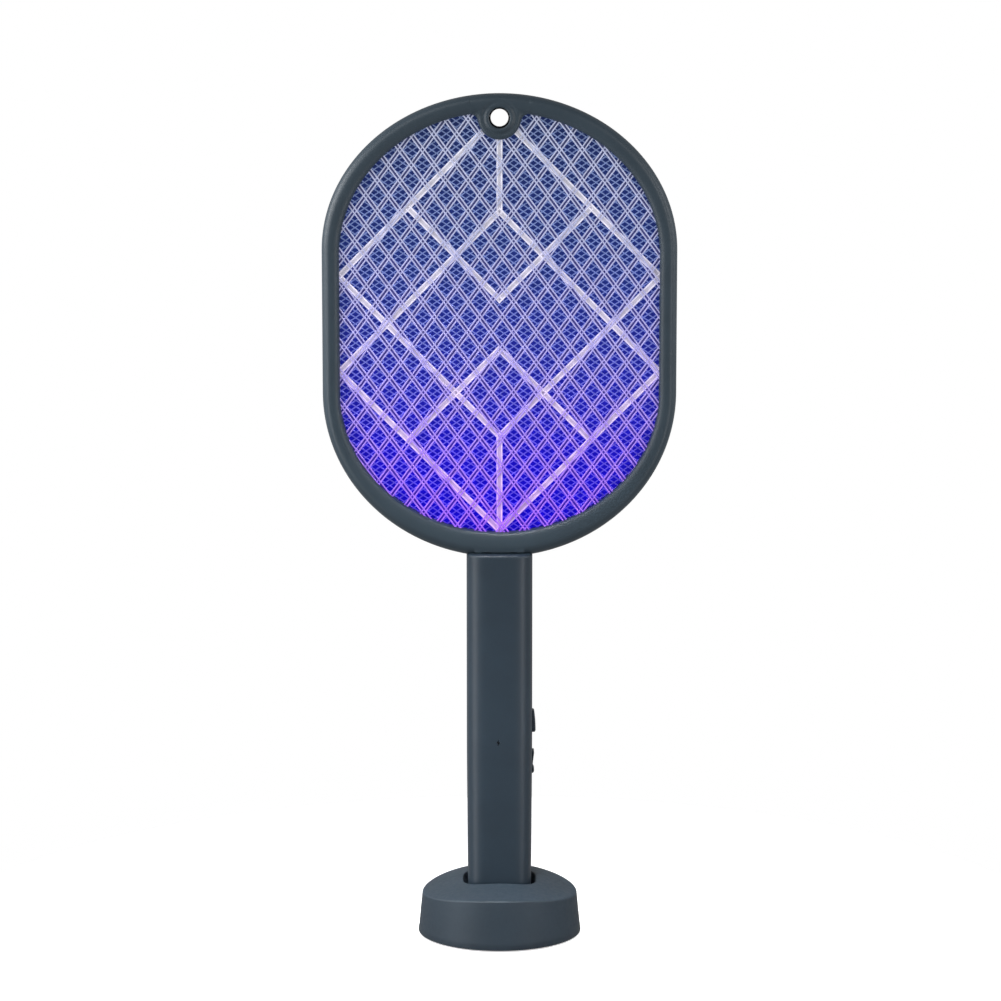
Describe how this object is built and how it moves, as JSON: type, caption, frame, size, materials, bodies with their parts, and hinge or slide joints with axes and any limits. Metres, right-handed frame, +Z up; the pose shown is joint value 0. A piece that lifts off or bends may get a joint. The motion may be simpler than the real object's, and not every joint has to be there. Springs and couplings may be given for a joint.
{
  "type": "electric fly swatter",
  "caption": "Racket-shaped electric fly swatter with a netted oval head and a squared handle, standing in a round charging base.",
  "frame": {"origin": "on the surface that the base stands on, under the middle of the base", "axes": "+Z up along the handle, +X towards the side with the trigger and the slider, -Y is the front with the charge light, +Y is the rear with the power socket"},
  "size_m": [0.21, 0.0984, 0.5055],
  "materials": {
    "slate_plastic": "fine satin moulded, dark slate grey",
    "dark_plastic": "fine matt moulded, darker slate",
    "white_plastic": "smooth moulded off-white, lit lavender from behind",
    "guard_wire": "satin bare wire",
    "charged_wire": "satin bare wire",
    "lit_panel": "edge-lit blue, brightest at the lower edge",
    "steel": "zinc plated",
    "brass": "gold flashed",
    "circuit_board": "green solder mask",
    "copper_winding": "varnished winding",
    "cell_wrap": "shrink-wrapped cell",
    "capacitor_film": "dipped film capacitor",
    "black_rubber": "matt",
    "clear_plastic": "clear",
    "red_cover": "insulated lead"
  },
  "bodies": {
    "base": {"base_upper_shell": "slate_plastic", "base_bottom_cover": "dark_plastic", "rubber_foot_1": "black_rubber", "rubber_foot_2": "black_rubber", "rubber_foot_3": "black_rubber", "rubber_foot_4": "black_rubber", "base_board": "circuit_board", "usb_c_port": "steel", "pin_barrel_left": "brass", "pin_barrel_right": "brass", "base_screw_1": "steel", "base_screw_2": "steel", "base_screw_3": "steel"},
    "racket": {"front_frame": "slate_plastic", "rear_frame": "slate_plastic", "handle_front_shell": "slate_plastic", "handle_rear_shell": "slate_plastic", "handle_end_cap": "dark_plastic", "trigger_switch": "dark_plastic", "battery_cradle": "dark_plastic", "front_rib_guard": "white_plastic", "rear_rib_guard": "white_plastic", "lamp_lead": "white_plastic", "front_safety_net": "guard_wire", "rear_safety_net": "guard_wire", "front_hv_mesh": "charged_wire", "rear_hv_mesh": "charged_wire", "light_panel": "lit_panel", "lamp_strip": "circuit_board", "main_board": "circuit_board", "uv_lamp_1": "clear_plastic", "uv_lamp_2": "clear_plastic", "uv_lamp_3": "clear_plastic", "uv_lamp_4": "clear_plastic", "charge_light_lens": "clear_plastic", "charge_light_lamp": "clear_plastic", "frame_screw_1": "steel", "frame_screw_2": "steel", "frame_screw_3": "steel", "frame_screw_4": "steel", "frame_screw_5": "steel", "frame_screw_6": "steel", "handle_screw_1": "steel", "handle_screw_2": "steel", "handle_screw_3": "steel", "handle_screw_4": "steel", "mode_switch": "steel", "charge_contact_left": "brass", "charge_contact_right": "brass", "hv_transformer": "copper_winding", "hv_capacitor": "capacitor_film", "battery_cell": "cell_wrap", "ground_lead": "black_rubber", "hv_lead": "red_cover"},
    "contact_pin_left": {"contact_pin_left": "brass"},
    "contact_pin_right": {"contact_pin_right": "brass"},
    "trigger": {"trigger_button": "dark_plastic", "trigger_stem": "white_plastic"},
    "mode_slider": {"mode_slider": "dark_plastic"}
  },
  "joints": [
    {"name": "racket_lift", "type": "slide", "parent": "base", "child": "racket", "axis": [0, 0, 1], "range_m": [0, 0.06]},
    {"name": "trigger_press", "type": "slide", "parent": "racket", "child": "trigger", "axis": [-1, 0, 0], "range_m": [0, 0.0012], "stiffness_N_per_m": 1000},
    {"name": "mode_slide", "type": "slide", "parent": "racket", "child": "mode_slider", "axis": [0, 0, 1], "range_m": [0, 0.004]},
    {"name": "pin_left_press", "type": "slide", "parent": "base", "child": "contact_pin_left", "axis": [0, 0, -1], "range_m": [0, 0.001], "stiffness_N_per_m": 500},
    {"name": "pin_right_press", "type": "slide", "parent": "base", "child": "contact_pin_right", "axis": [0, 0, -1], "range_m": [0, 0.001], "stiffness_N_per_m": 500}
  ]
}
